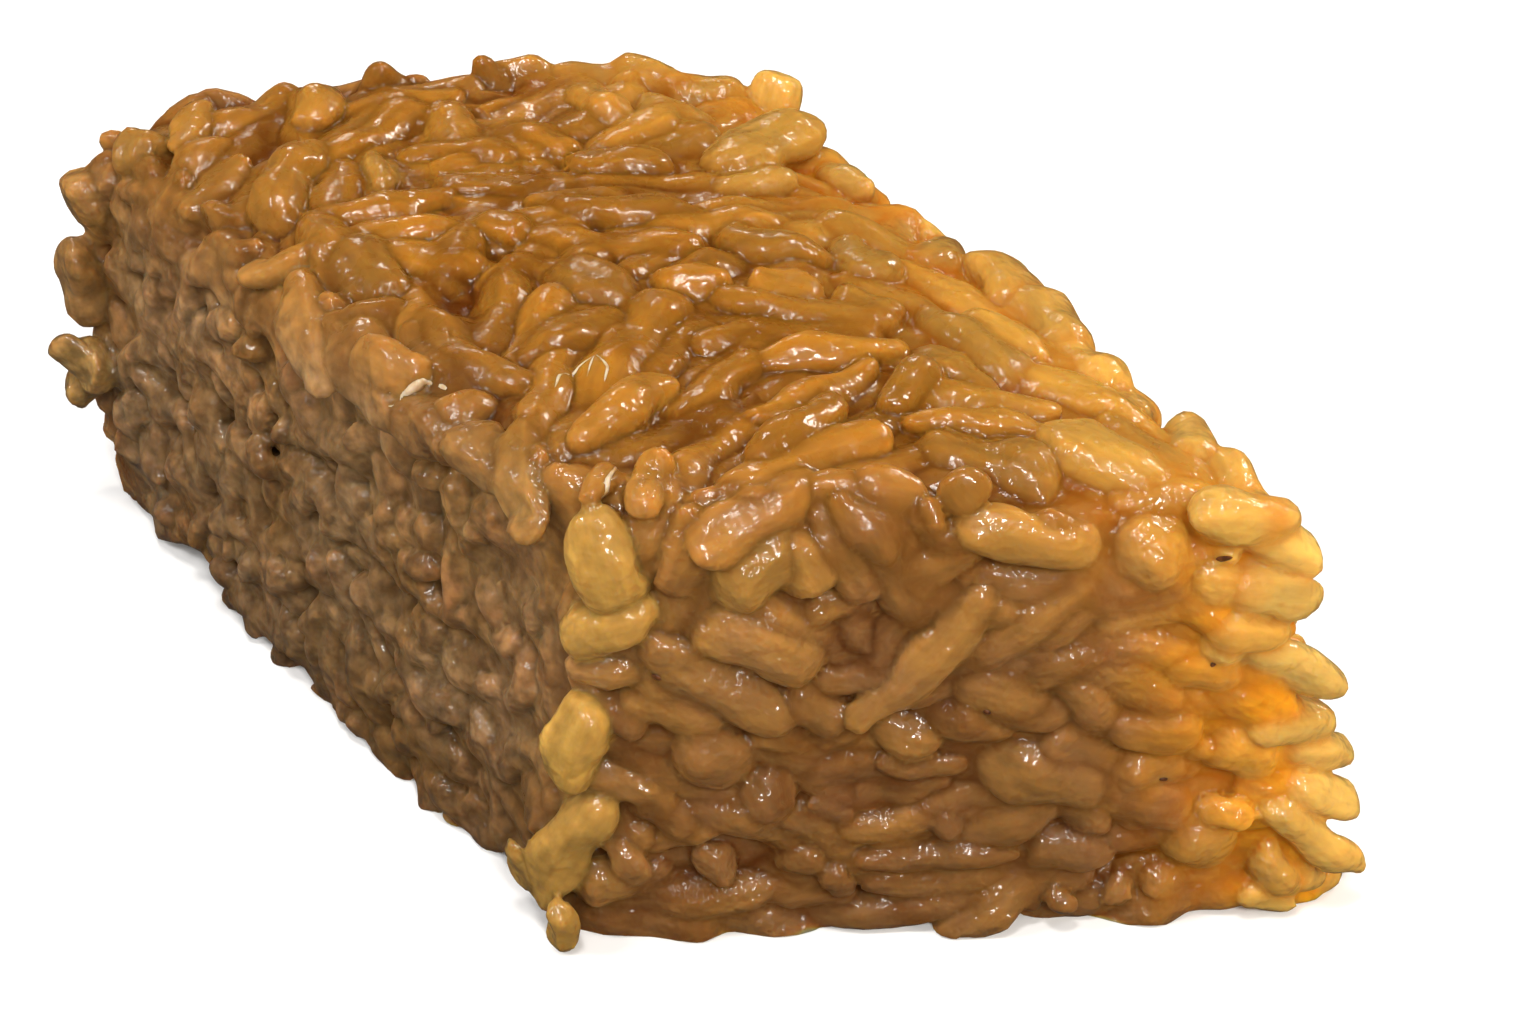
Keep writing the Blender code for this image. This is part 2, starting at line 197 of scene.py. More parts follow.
FRONT_GRAINS = (
    ((1.2, 20.0), (2.4, 15.9), 2.5, 0.9, 0.8),
    ((0.0, 14.6), (3.4, 16.0), 2.0, 0.9, 0.7),
    ((0.1, 13.3), (3.0, 13.0), 1.5, 0.4, 0.1),
    ((1.2, 11.6), (0.0, 7.4), 2.1, 1.0, 1.0),
    ((1.7, 7.2), (-1.2, 1.2), 2.0, 1.0, 0.8),
    ((5.0, 20.3), (3.7, 16.7), 1.7, 0.4),
    ((5.2, 16.8), (8.9, 18.3), 3.1, 0.7, 0.4),
    ((8.2, 19.1), (9.5, 16.5), 2.1, 0.6, 0.2),
    ((9.5, 20.0), (11.7, 15.9), 2.0, 0.3),
    ((10.4, 20.4), (12.1, 18.0), 1.2, 0.5),
    ((11.1, 20.8), (13.7, 20.2), 1.9, 0.4),
    ((13.6, 20.5), (13.9, 19.0), 1.0, 0.6),
    ((14.3, 21.1), (15.7, 19.7), 1.5, 0.5, 0.1),
    ((12.3, 17.3), (16.0, 18.0), 1.8, 0.2),
    ((14.7, 19.3), (20.0, 18.1), 2.1, 0.7, 0.3),
    ((8.7, 15.4), (11.3, 15.9), 1.5, 0.1),
    ((5.0, 15.6), (9.9, 12.9), 2.5, 0.7, 0.1),
    ((3.0, 14.6), (8.7, 10.6), 2.2, 0.6, 0.1),
    ((8.5, 12.2), (10.8, 10.0), 1.7, 0.3),
    ((16.2, 16.4), (10.9, 10.2), 1.9, 0.7, 0.1),
    ((20.2, 17.0), (15.3, 13.0), 2.3, 0.5),
    ((23.6, 15.4), (19.5, 13.9), 1.9, 0.5, 0.2),
    ((18.9, 13.6), (23.9, 10.7), 2.2, 0.4),
    ((23.1, 12.5), (26.0, 12.1), 1.6, 0.5, 0.1),
    ((15.0, 12.2), (18.6, 11.0), 1.9, 0.2),
    ((14.0, 10.7), (17.2, 9.6), 1.9, 0.3),
    ((12.0, 9.9), (14.7, 9.1), 1.7, 0.2),
    ((21.2, 9.8), (24.9, 9.3), 2.0, 0.3),
    ((15.9, 8.3), (21.2, 6.4), 2.9, 0.6, 0.1),
    ((19.4, 6.1), (21.7, 4.6), 1.9, 0.3),
    ((21.3, 7.4), (24.4, 7.7), 1.8, 0.3),
    ((21.7, 6.3), (24.6, 5.7), 1.4, 0.2),
    ((25.0, 8.7), (28.0, 7.1), 2.2, 0.3, 0.3),
    ((24.9, 5.7), (27.4, 5.1), 1.3, 0.4, 0.2),
    ((11.2, 6.9), (15.2, 7.3), 1.7, 0.3),
    ((11.9, 8.4), (15.7, 8.0), 1.1, 0.3),
    ((7.2, 8.2), (8.3, 6.0), 1.6, 0.25),
    ((8.1, 8.2), (8.7, 6.5), 1.0, 0.25),
    ((9.4, 6.6), (11.2, 5.8), 1.2, 0.3),
    ((10.4, 5.2), (14.6, 5.4), 1.6, 0.2),
    ((14.3, 5.8), (15.6, 4.5), 1.0, 0.0),
    ((11.4, 3.8), (18.1, 3.7), 1.3, 0.4),
    ((11.7, 2.7), (18.0, 2.3), 1.4, 0.5),
    ((12.7, 1.0), (18.3, 1.4), 1.5, 0.5),
    ((18.3, 3.5), (22.0, 3.3), 1.6, 0.2),
    ((18.7, 2.1), (18.9, 0.6), 0.9, 0.4),
    ((19.7, 2.1), (19.8, 0.6), 0.9, 0.4),
    ((21.7, 1.6), (22.9, 1.2), 1.3, 0.4),
    ((23.4, 2.5), (24.6, 1.1), 1.3, 0.3),
    ((23.6, 4.3), (26.8, 3.4), 3.0, 0.5, 0.3),
    ((7.7, 1.9), (11.1, 2.1), 1.8, 0.1),
    ((8.0, 3.6), (10.2, 4.0), 1.4, 0.1),
    ((10.1, 3.6), (11.3, 2.0), 1.2, 0.3),
    ((0.9, 1.5), (7.2, 1.9), 2.0, -0.1),
    ((5.4, 4.5), (6.5, 2.7), 1.5, 0.5),
    ((1.5, 4.9), (3.1, 2.7), 1.5, 0.4),
    ((2.6, 6.8), (5.9, 5.5), 1.8, 0.2),
    ((2.3, 11.8), (6.1, 10.4), 1.8, 0.3),
    ((4.4, 9.9), (7.1, 8.4), 2.3, 0.3),
    ((20.6, 18.3), (23.6, 16.9), 2.6, 0.4, 0.2),
    ((23.9, 16.9), (26.4, 16.0), 1.7, 0.6, 0.6),
)

# The grains past the block's edges: the place of the middle and the way the grain points, then its
# length, width and how sunny it is, a yellow that is partly painted light coming through the thin
# edges.
EDGE_GRAINS = (
    ((-0.8, -1.2, 1.15), (-0.15, -0.3, 1.0), 3.4, 2.3, 0.9),
    ((-2.2, 1.1, 3.0), (-0.35, 0.0, 1.0), 3.0, 1.8, 0.8),
    ((25.6, 0.2, 19.3), (1.0, 0.2, -0.25), 4.6, 2.1, 0.7),
    ((27.4, 0.5, 17.5), (1.0, 0.3, -0.5), 4.2, 2.2, 0.9),
    ((27.2, 0.2, 15.8), (1.0, 0.2, -0.3), 4.6, 2.0, 0.9),
    ((26.0, -0.1, 14.2), (1.0, 0.1, -0.2), 3.6, 1.8, 0.6),
    ((28.5, 0.1, 12.1), (1.0, 0.2, -0.5), 5.4, 2.0, 1.0),
    ((28.8, 0.3, 9.1), (1.0, 0.3, -0.25), 4.2, 2.0, 0.9),
    ((30.1, 0.8, 7.3), (1.0, 0.4, -0.45), 4.4, 1.7, 0.9),
    ((30.3, 0.3, 5.6), (1.0, 0.3, -0.6), 4.4, 1.8, 0.9),
    ((30.2, -0.5, 3.8), (1.0, 0.05, -0.9), 6.2, 1.6, 0.8),
    ((28.7, -0.6, 2.4), (0.7, 0.1, -0.8), 2.9, 1.7, 0.6),
    ((28.4, -0.9, 0.9), (1.0, 0.0, -0.3), 2.6, 1.4, 0.8),
    ((30.0, 0.0, 1.8), (0.8, 0.3, -0.6), 2.6, 1.5, 0.7),
    ((10.0, 27.4, 21.1), (0.75, 0.65, 0.0), 6.6, 3.2, 0.15),
    ((9.3, 24.4, 20.8), (1.0, 0.25, 0.1), 3.8, 1.9, 0.3),
    ((11.2, 33.2, 19.9), (0.15, 0.2, 1.0), 4.4, 2.3, 0.6),
    ((14.8, 21.6, 19.8), (0.5, 1.0, -0.2), 4.4, 2.7, 0.2),
    ((16.6, 19.6, 19.5), (0.6, 0.7, -0.3), 4.4, 2.6, 0.2),
    ((18.8, 17.0, 19.6), (-0.3, 1.0, 0.0), 4.8, 2.9, 0.3),
    ((20.3, 13.4, 19.4), (-0.3, 1.0, 0.1), 5.2, 2.9, 0.4),
    ((21.6, 10.2, 19.0), (-0.5, 1.0, 0.0), 4.4, 2.8, 0.4),
    ((22.6, 7.6, 18.7), (0.3, 1.0, -0.3), 3.8, 2.6, 0.6),
    ((24.5, 5.2, 19.1), (0.2, 1.0, -0.3), 4.0, 2.7, 0.6),
    ((25.5, 3.1, 18.7), (-0.2, 1.0, 0.0), 3.4, 2.5, 0.5),
    ((26.2, 1.0, 18.7), (-0.3, 1.0, -0.3), 3.2, 2.5, 0.5),
    ((-0.6, 35.8, 20.1), (1.0, 0.1, 0.0), 4.6, 2.4, 0.1),
    ((2.6, 35.5, 20.4), (1.0, -0.1, 0.0), 4.4, 2.5, 0.1),
    ((5.4, 35.2, 20.5), (0.8, -0.6, 0.0), 4.4, 2.5, 0.1),
    ((8.0, 34.1, 20.7), (1.0, -0.3, 0.0), 4.0, 2.5, 0.2),
    ((-21.8, 31.2, 8.6), (-1.0, -0.2, 0.5), 4.4, 3.0, 0.4),
    ((-21.9, 32.0, 7.1), (-0.8, -0.3, -0.5), 3.2, 2.4, 0.4),
    ((-20.4, 33.2, 16.0), (-0.4, -0.4, 1.0), 4.4, 2.8, 0.1),
    ((-21.4, 33.0, 12.2), (-0.1, -0.1, 1.0), 4.8, 3.0, 0.1),
    ((-6.2, 11.6, 19.9), (0.75, -0.65, 0.0), 4.0, 2.3, 0.0),
)

# Pits where the knife tore grains out of the left cut: how far along the cut from the near edge, the
# height, and the radius.
PITS = (
    (29.3, 15.8, 1.5),
    (32.6, 15.4, 1.1),
    (27.2, 8.4, 1.5),
    (20.4, 16.6, 1.0),
    (15.4, 12.6, 1.0),
    (13.6, 7.2, 1.4),
    (8.4, 15.0, 1.1),
    (6.2, 10.8, 0.9),
    (23.6, 5.2, 1.1),
    (33.8, 8.8, 1.2),
)

draw = np.random.default_rng(7)


def share(value, whole):
    return min(1.0, max(0.0, value / whole))


def block_mesh():
    """The block as a bmesh: a cube whose corners are moved, then domed, bowed and rounded."""
    bm = bmesh.new()
    bmesh.ops.create_cube(bm, size=2.0)
    corner_at = {(-1, -1): "near", (1, -1): "right", (1, 1): "far_right", (-1, 1): "far_left"}
    for vert in bm.verts:
        corner = corner_at[(round(vert.co.x), round(vert.co.y))]
        if vert.co.z > 0.0:
            vert.co = Vector(CROWN[corner])
        else:
            vert.co = Vector((*FOOT[corner], -FOOT_DEPTH))
    bmesh.ops.subdivide_edges(bm, edges=bm.edges, cuts=3, use_grid_fill=True)
    slant = (FOOT["near"][0] - FOOT["far_left"][0]) / (FOOT["far_left"][1] - FOOT["near"][1])
    for vert in bm.verts:
        across = math.sin(math.pi * share(vert.co.x + slant * vert.co.y, FOOT["right"][0]))
        away = share(vert.co.y, FOOT["far_right"][1])
        height = share(vert.co.z, CROWN["near"][2])
        vert.co.z += CROWN_RISE * across * math.sin(0.5 * math.pi * away) * height**3
        bow = FAR_BOW_AT_FOOT + (1.0 - FAR_BOW_AT_FOOT) * height
        vert.co.y += FAR_BOW * across * away**3 * bow
        to_left = 1.0 - share(vert.co.x + slant * vert.co.y, FOOT["right"][0])
        vert.co.x += LEFT_HOLLOW * to_left * math.sin(math.pi * away)
    bm.normal_update()
    sharp = [edge for edge in bm.edges if edge.calc_face_angle(0.0) > SHARP_EDGE]
    bmesh.ops.bevel(
        bm, geom=sharp, offset=EDGE_ROUNDING, segments=2, profile=0.5, affect="EDGES", material=-1
    )
    bmesh.ops.triangulate(bm, faces=bm.faces)
    bmesh.ops.recalc_face_normals(bm, faces=bm.faces)
    return bm


block = block_mesh()


def in_fixed_order(bm):
    """The corners of the block's triangles, in an order that stays the same from run to run."""
    triangles = []
    for face in bm.faces:
        corners = [tuple(round(value, 4) for value in vert.co) for vert in face.verts]
        first = corners.index(min(corners))
        triangles.append(corners[first:] + corners[:first])
    return np.array(sorted(triangles))


# The block's triangles, apart from the underside, and the side that each belongs to.
face_corners = in_fixed_order(block)
first_edges = face_corners[:, 1] - face_corners[:, 0]
face_normals = np.cross(first_edges, face_corners[:, 2] - face_corners[:, 0])
face_areas = 0.5 * np.linalg.norm(face_normals, axis=1)
face_normals /= 2.0 * face_areas[:, None]
seen = face_normals[:, 2] > UNDERSIDE
face_corners, face_normals, face_areas = face_corners[seen], face_normals[seen], face_areas[seen]
face_offsets = np.einsum("ij,ij->i", face_corners[:, 0], face_normals)
face_sides = np.argmax(face_normals @ of_sides("look").T, axis=1)
side_faces = {name: face_sides == column for column, name in enumerate(SIDES)}

SIDE_BLEND = 1.1  # how softly one side passes into the next round an edge


def side_heights(points):
    """How far points stand out of each side of the block: one row a point, one column a side."""
    columns = [points @ face_normals[mine].T - face_offsets[mine] for mine in side_faces.values()]
    return np.stack([column.max(axis=1) for column in columns], axis=1)


def side_weights(heights):
    """How much each side counts at points, from their heights over the sides."""
    pull = np.exp((heights - heights.max(axis=1, keepdims=True)) / SIDE_BLEND)
    return pull / pull.sum(axis=1, keepdims=True)


def on_side(name, place):
    """The point of the crown over (x, y), or of the front cut at (x, z), and the normal there."""
    axis = {"crown": 2, "front": 1}[name]
    facing = side_faces[name] & (np.abs(face_normals[:, axis]) > 0.5)
    normals, offsets = face_normals[facing], face_offsets[facing]
    point = np.insert(np.array(place), axis, 0.0)
    reaches = (offsets - normals @ point) / normals[:, axis]
    nearest = np.argmin(reaches) if name == "crown" else np.argmax(reaches)
    point[axis] = reaches[nearest]
    return Vector(point), Vector(normals[nearest])


def combed(place, comb):
    """The way grains point at a place of a side, in radians, drawn from the nearest combed places."""
    pull = Vector((0.0, 0.0))
    for combed_place, angle in comb:
        weight = 1.0 / (math.dist(place, combed_place) + 1.0) ** 3
        twice = math.radians(2.0 * angle)
        pull += weight * Vector((math.cos(twice), math.sin(twice)))
    return 0.5 * math.atan2(pull.y, pull.x)


UPPER_FINGERS = 16.0  # above this height the right cut's grains lie along it and don't stand out


def lie_of(name, point, normal):
    """The way a grain points at this place of a side."""
    up = Vector((0.0, 0.0, 1.0))
    if name == "crown":
        angle = combed((point.x, point.y), CROWN_COMB) + math.radians(draw.normal(0.0, CROWN_SCATTER))
        level = Vector((math.cos(angle), math.sin(angle), 0.0))
        return (level - normal * level.dot(normal) + up * draw.normal(0.0, 0.08)).normalized()
    sideways = up.cross(normal).normalized()
    if name == "right":
        outward = normal * draw.uniform(0.5, 1.3) + sideways * draw.normal(0.0, 0.5)
        level = sideways + normal * draw.normal(0.0, 0.25)
        way = level if point.z > UPPER_FINGERS else outward
        return (way + up * draw.normal(-0.15, 0.3)).normalized()
    if name == "left":
        way = sideways * draw.normal(0.0, 1.0) + normal * draw.normal(0.0, 0.7)
        return (way + up * draw.normal(0.0, 0.7)).normalized()
    angle = combed((point.x, point.z), FRONT_COMB) + math.radians(draw.normal(0.0, FRONT_SCATTER))
    way = sideways * math.cos(angle) + up * math.sin(angle) + normal * draw.normal(0.0, 0.18)
    return way.normalized()


def grain_row(middle, way, normal, length, width, sunny, chance):
    """One grain: where and how it lies, and the chances of its own shape."""
    middle, way, normal = Vector(middle), Vector(way).normalized(), Vector(normal)
    flat_way = normal - way * normal.dot(way)
    if flat_way.length < 0.3:
        flat_way = way.orthogonal()
    plump = 0.12 if sunny > 0.3 else 0.0
    return dict(
        middle=middle[:],
        way=way[:],
        flat_way=flat_way.normalized()[:],
        length=length,
        width=width,
        flatness=chance.uniform(0.65, 0.88) + plump,
        bend=chance.normal(0.0, 0.2),
        sway=chance.normal(0.0, 0.28) * length / 6.0,
        head=chance.uniform(0.3, 0.65),
        tail=chance.uniform(0.3, 0.65),
        ripple=chance.uniform(0.02, 0.10),
        ripple_start=chance.uniform(0.0, 2.0 * math.pi),
        tone=chance.uniform(),
        sunny=sunny,
    )


TOP_TO_MIDDLE = 0.42  # of a chosen grain's width
SWELL = 1.08  # how much wider a chosen grain is made, since its neighbours hide its rims


def chosen_row(name, start, end, width, rise, sunny=0.0):
    """A grain that goes from one place of a side to another, its top this far over the side."""
    tips = [on_side(name, place)[0] for place in (start, end)]
    centre = [0.5 * (a + b) for a, b in zip(start, end)]
    point, normal = on_side(name, centre)
    middle = point - normal * (TOP_TO_MIDDLE * width - rise)
    way = tips[1] - tips[0]
    return grain_row(middle, way, normal, way.length, SWELL * width, sunny, draw)


def crowded(middle, way, laid, spacing, reach):
    """Whether a grain here would lie in one of those already laid, rows of a middle and a way."""
    near = laid[np.abs(laid[:, :3] - middle).max(axis=1) < spacing * reach]
    mean_ways = near[:, 3:] * np.sign(near[:, 3:] @ way)[:, None] + way
    mean_ways /= np.linalg.norm(mean_ways, axis=1)[:, None] + 1e-9
    gaps = near[:, :3] - middle
    along = np.einsum("ij,ij->i", gaps, mean_ways)
    across = np.linalg.norm(gaps - mean_ways * along[:, None], axis=1)
    return bool(np.any(np.hypot(along / reach, across) < spacing))


TRIES_PER_LAYER = 6000
TIP_RADIUS = 0.4  # of a grain's width
LOWEST_GRAIN = 0.3


def candidates(name, side, depths):
    """Grains that would fit this side if nothing lay there yet, the longest first."""
    mine = np.flatnonzero(side_faces[name])
    picks = draw.choice(mine, size=TRIES_PER_LAYER, p=face_areas[mine] / face_areas[mine].sum())
    mix = np.sort(draw.uniform(size=(TRIES_PER_LAYER, 2)), axis=1)
    mix = np.stack([mix[:, 0], mix[:, 1] - mix[:, 0], 1.0 - mix[:, 1]], axis=1)
    points = np.einsum("ij,ijk->ik", mix, face_corners[picks])
    normals = face_normals[picks]
    pairs = zip(points, normals)
    ways = np.array([lie_of(name, Vector(point), Vector(normal)) for point, normal in pairs])
    lengths = np.linspace(*side["length"], TRIES_PER_LAYER)
    widths = draw.uniform(*side["width"], TRIES_PER_LAYER)
    middles = points - normals * draw.uniform(*depths, TRIES_PER_LAYER)[:, None]
    tip_ways = ways * (0.5 * (lengths - widths))[:, None]
    heads, tails = side_heights(middles + tip_ways), side_heights(middles - tip_ways)
    tips = np.maximum(heads.max(axis=1), tails.max(axis=1))
    fits = (tips + TIP_RADIUS * widths < side["stand_out"]) & (middles[:, 2] > LOWEST_GRAIN)
    traits = (middles, ways, normals, lengths, widths)
    return zip(np.flatnonzero(fits), *(trait[fits] for trait in traits))


def spread_grains():
    """The chosen grains, with the rest laid round them side by side and layer by layer."""
    chosen = [chosen_row("crown", *grain) for grain in CROWN_GRAINS]
    chosen += [chosen_row("front", *grain) for grain in FRONT_GRAINS]
    for middle, way, length, width, sunny in EDGE_GRAINS:
        normal = face_normals[np.argmax(face_normals @ np.array(middle) - face_offsets)]
        chosen.append(grain_row(middle, way, normal, length, width, sunny, draw))
    rows = list(chosen)
    for layer in range(2):
        around = chosen if layer else []
        laid = np.array([[*row["middle"], *row["way"]] for row in around]).reshape(-1, 6)
        for column, (name, side) in enumerate(SIDES.items()):
            fitting = candidates(name, side, side["layers"][layer])
            for number, middle, way, normal, length, width in fitting:
                if crowded(middle, way, laid, side["spacing"], side["reach"]):
                    continue
                laid = np.vstack([laid, np.concatenate([middle, way])])
                chance = np.random.default_rng((layer, column, number))
                # On the right cut the grains are sunny: partly painted light that comes through the
                # thin right side.
                sunny = chance.uniform(0.3, 1.0) if name == "right" else 0.0
                rows.append(grain_row(middle, way, normal, length, width, sunny, chance))
    return rows


class Grains:
    """All grains, each trait as one array."""

    def __init__(self, rows):
        for trait in rows[0]:
            setattr(self, trait, np.array([row[trait] for row in rows]))
        self.side_way = np.cross(self.flat_way, self.way)
        self.ways = (self.way, self.side_way, self.flat_way)
        self.half = 0.5 * self.length
        self.radius = 0.5 * self.width


grains = Grains(spread_grains())

STRAY = 0.24  # how far the grains' outlines stray from a smooth one
RIPPLES = 5.5  # how fast a grain's thickness wavers from its middle to its end, in radians
BELT = 0.2225  # how far from the middle of a plain ball its two widest rings lie
TIP_LENGTH = 0.8  # of a rod's radius


def thickness(picked, part):
    """A grain's radius at a part of its half length, from -1 at its tail to 1 at its head."""
    end = np.where(part > 0.0, grains.head[picked], grains.tail[picked])
    waver = grains.ripple[picked] * np.sin(RIPPLES * part + grains.ripple_start[picked])
    return grains.radius[picked] * (1.0 - end * np.abs(part) ** 2.6 + waver)


def joined_rods():
    """All grains as one mesh of crossing rods, each a sphere that is drawn out along its way."""
    bm = bmesh.new()
    bmesh.ops.create_uvsphere(bm, u_segments=10, v_segments=7, radius=1.0)
    long_edges = [edge for edge in bm.edges if edge.verts[0].co.z * edge.verts[1].co.z < 0.0]
    bmesh.ops.subdivide_edges(bm, edges=long_edges, cuts=3)
    bmesh.ops.triangulate(bm, faces=bm.faces)
    bm.verts.ensure_lookup_table()
    ball = np.array([vert.co[:] for vert in bm.verts])
    ball_faces = np.array([[vert.index for vert in face.verts] for face in bm.faces])
    bm.free()
    every = np.arange(len(grains.tone))[:, None]
    lift = np.clip(ball[:, 2] / BELT, -1.0, 1.0)
    part = lift[None] * (1.0 - TIP_LENGTH * grains.radius / grains.half)[:, None]
    radii = thickness(every, part)
    tip = TIP_LENGTH * grains.radius[:, None] * (ball[:, 2] - BELT * lift) / (1.0 - BELT)
    along = part * grains.half[:, None] + tip
    across = radii * ball[:, 0] + grains.sway[:, None] * (1.0 - part**2)
    deep = radii * ball[:, 1] * grains.flatness[:, None] + grains.bend[:, None] * (1.0 - part**2)
    places = grains.middle[:, None]
    for parts, ways in zip((along, across, deep), grains.ways):
        places = places + np.einsum("ij,ik->ijk", parts, ways)
    steps = np.arange(len(every))[:, None, None] * len(ball)
    return places.reshape(-1, 3), (ball_faces[None] + steps).reshape(-1, 3)


def core_mesh(bm):
    """The set syrup between and under the grains: the block, drawn in by its sides' depths."""
    bm.normal_update()
    places = np.array([vert.co[:] for vert in bm.verts])
    normals = np.array([vert.normal[:] for vert in bm.verts])
    depths = side_weights(side_heights(places)) @ of_sides("sunk")
    places -= normals * depths[:, None]
    places[:, 2] = np.maximum(places[:, 2], BED)
    return places, np.array([[vert.index for vert in face.verts] for face in bm.faces])


def shown(name, data):
    """A new object with this mesh, curve, lamp or lens, put into the scene."""
    made = bpy.data.objects.new(name, data)
    bpy.context.scene.collection.objects.link(made)
    return made


def shown_plan(name, plan):
    """A new object whose mesh is this bmesh."""
    mesh = bpy.data.meshes.new(name)
    plan.to_mesh(mesh)
    plan.free()
    return shown(name, mesh)


def applied(piece):
    """The piece's mesh with its modifiers, or its curve, made plain."""
    bpy.context.view_layer.update()
    made = piece.evaluated_get(bpy.context.evaluated_depsgraph_get())
    return bpy.data.meshes.new_from_object(made)


def take_modifiers(piece):
    """Makes what the modifiers give the piece's own mesh."""
    mesh = applied(piece)
    piece.modifiers.clear()
    piece.data = mesh


def numbers_of(items, field, width, kind=float):
    """One field of a mesh's points, edges or triangles, a row for each."""
    numbers = np.empty(len(items) * width, kind)
    items.foreach_get(field, numbers)
    return numbers.reshape(-1, width)


def smooth(mesh):
    mesh.polygons.foreach_set("use_smooth", np.ones(len(mesh.polygons), bool))


def keep_outer_skin(mesh):
    """Drops the closed hollows that stay between the grains and the core."""
    edges = numbers_of(mesh.edges, "vertices", 2, int)
    label = np.arange(len(mesh.vertices))
    changed = True
    while changed:
        lowest = label[edges].min(axis=1)
        joined = label.copy()
        np.minimum.at(joined, edges[:, 0], lowest)
        np.minimum.at(joined, edges[:, 1], lowest)
        joined = joined[joined]
        changed = bool(np.any(joined != label))
        label = joined
    outer = np.bincount(label).argmax()
    bm = bmesh.new()
    bm.from_mesh(mesh)
    bm.verts.ensure_lookup_table()
    hidden = [bm.verts[index] for index in np.flatnonzero(label != outer)]
    bmesh.ops.delete(bm, geom=hidden, context="VERTS")
    bm.to_mesh(mesh)
    bm.free()


def waves(points, size, seed, count=10):
    """Smooth random relief about 0, with bumps some size across, mostly between -1 and 1."""
    chance = np.random.default_rng(seed)
    ways = chance.normal(size=(count, 3))
    ways *= (math.pi / size * chance.uniform(0.7, 1.4, count) / np.linalg.norm(ways, axis=1))[:, None]
    starts = chance.uniform(0.0, 2.0 * math.pi, count)
    return np.sin(points @ ways.T + starts).sum(axis=1) / math.sqrt(2.0 * count)


def crookedness(points):
    """How far straight grains are moved here to look grown and squeezed."""
    return STRAY * np.stack([waves(points, 1.7, seed=seed) for seed in (5, 6, 8)], axis=1)


CELL = 1.7
NEAR_ENOUGH = 0.6  # how far outside a grain its distance still matters


def cells_of():
    """Which grains reach each cell of a grid, so that a point is measured against few of them."""
    tips = grains.way * grains.half[:, None]
    reach = grains.radius[:, None] + NEAR_ENOUGH
    tails, heads = grains.middle - tips, grains.middle + tips
    lows = np.floor((np.minimum(tails, heads) - reach) / CELL).astype(int)
    highs = np.floor((np.maximum(tails, heads) + reach) / CELL).astype(int)
    cells = {}
    for number, (low, high) in enumerate(zip(lows, highs)):
        for i in range(low[0], high[0] + 1):
            for j in range(low[1], high[1] + 1):
                for k in range(low[2], high[2] + 1):
                    cells.setdefault((i, j, k), []).append(number)
    return {cell: np.array(numbers) for cell, numbers in cells.items()}


cells = cells_of()
near_foot = np.array(FOOT["near"])
along_left = np.array(FOOT["far_left"]) - near_foot
along_left /= np.linalg.norm(along_left)
pit_places = np.array([[*(near_foot + along_left * far), height] for far, height, _ in PITS])
pit_radii = np.array([radius for *_, radius in PITS])


def in_grains(points, picked):
    """Points in the picked grains' own terms: along, across, deep, and the part of the half length."""
    gaps = points[:, None] - grains.middle[picked]
    along, across, deep = (np.einsum("ijk,jk->ij", gaps, ways[picked]) for ways in grains.ways)
    part = np.clip(along / grains.half[picked], -1.0, 1.0)
    bow = 1.0 - part**2
    return along, across - grains.sway[picked] * bow, deep - grains.bend[picked] * bow, part


def grain_distances(points, picked):
    along, across, deep, part = in_grains(points, picked)
    radius = thickness(picked, part)
    end = np.where(part > 0.0, grains.head[picked], grains.tail[picked])
    lane = grains.half[picked] - grains.radius[picked] * (1.0 - end)
    past_lane = np.maximum(np.abs(along) - lane, 0.0)
    return np.sqrt(past_lane**2 + across**2 + (deep / grains.flatness[picked]) ** 2) - radius


SYRUP_TONE = 0.4
ALONE = 9.0  # the gap to the next thing, where there is none near
PRESS_ROUNDING = 0.12


